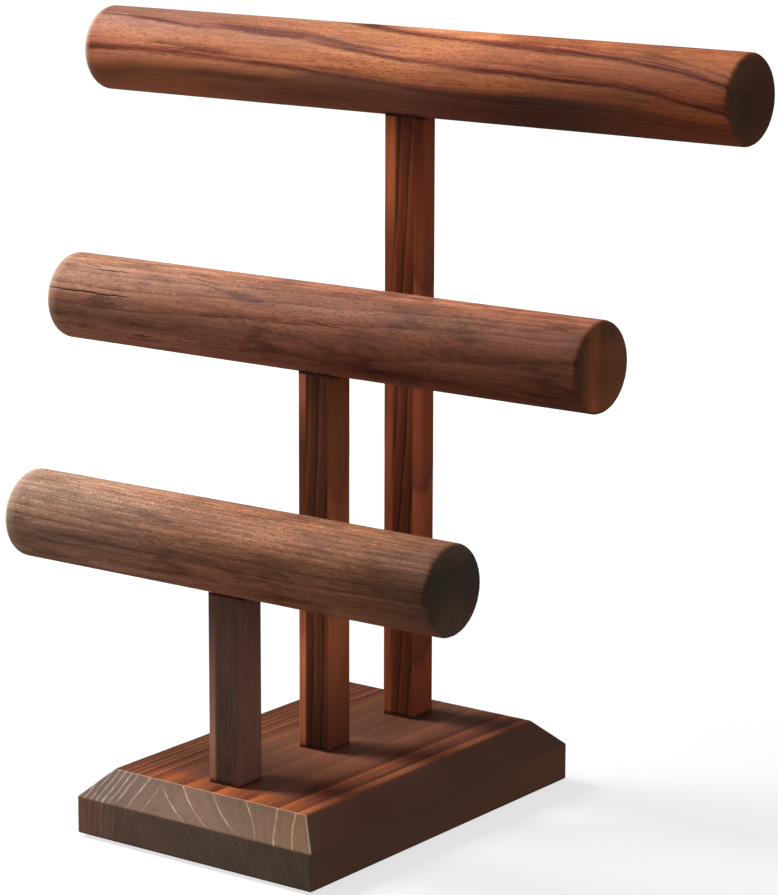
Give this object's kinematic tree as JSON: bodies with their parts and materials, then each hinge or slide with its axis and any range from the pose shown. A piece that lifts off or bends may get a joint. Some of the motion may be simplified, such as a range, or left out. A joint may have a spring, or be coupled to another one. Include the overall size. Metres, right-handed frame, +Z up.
{
  "type": "three-tier jewellery stand",
  "caption": "Wooden T-bar jewellery stand: round bars on square posts rise to the rear from a bevelled base board, for hanging bracelets, watches and necklaces.",
  "frame": {"origin": "on the table, under the middle of the base board", "axes": "+X along the round bars, +Y from the front (lowest) tier to the rear (highest) tier, +Z up"},
  "size_m": [0.356, 0.195, 0.3505],
  "materials": {
    "rear_bar_wood": "carbonised softwood, orange-brown, satin oil",
    "middle_bar_wood": "carbonised softwood, red-brown, satin oil",
    "front_bar_wood": "carbonised softwood, dark grey-brown, satin oil",
    "post_wood": "carbonised softwood, red-brown, satin oil",
    "board_wood": "carbonised softwood, red-brown with grey-brown end grain, satin oil",
    "dowel_wood": "plain beech",
    "screw_steel": "zinc-plated, satin",
    "pad_felt": "dense pressed felt"
  },
  "bodies": {
    "root": {"base_board": "board_wood", "front_post": "post_wood", "front_bar": "front_bar_wood", "front_dowel": "dowel_wood", "front_screw": "screw_steel", "middle_post": "post_wood", "middle_bar": "middle_bar_wood", "middle_dowel": "dowel_wood", "middle_screw": "screw_steel", "rear_post": "post_wood", "rear_bar": "rear_bar_wood", "rear_dowel": "dowel_wood", "rear_screw": "screw_steel", "front_left_pad": "pad_felt", "front_right_pad": "pad_felt", "rear_left_pad": "pad_felt", "rear_right_pad": "pad_felt"}
  },
  "joints": []
}
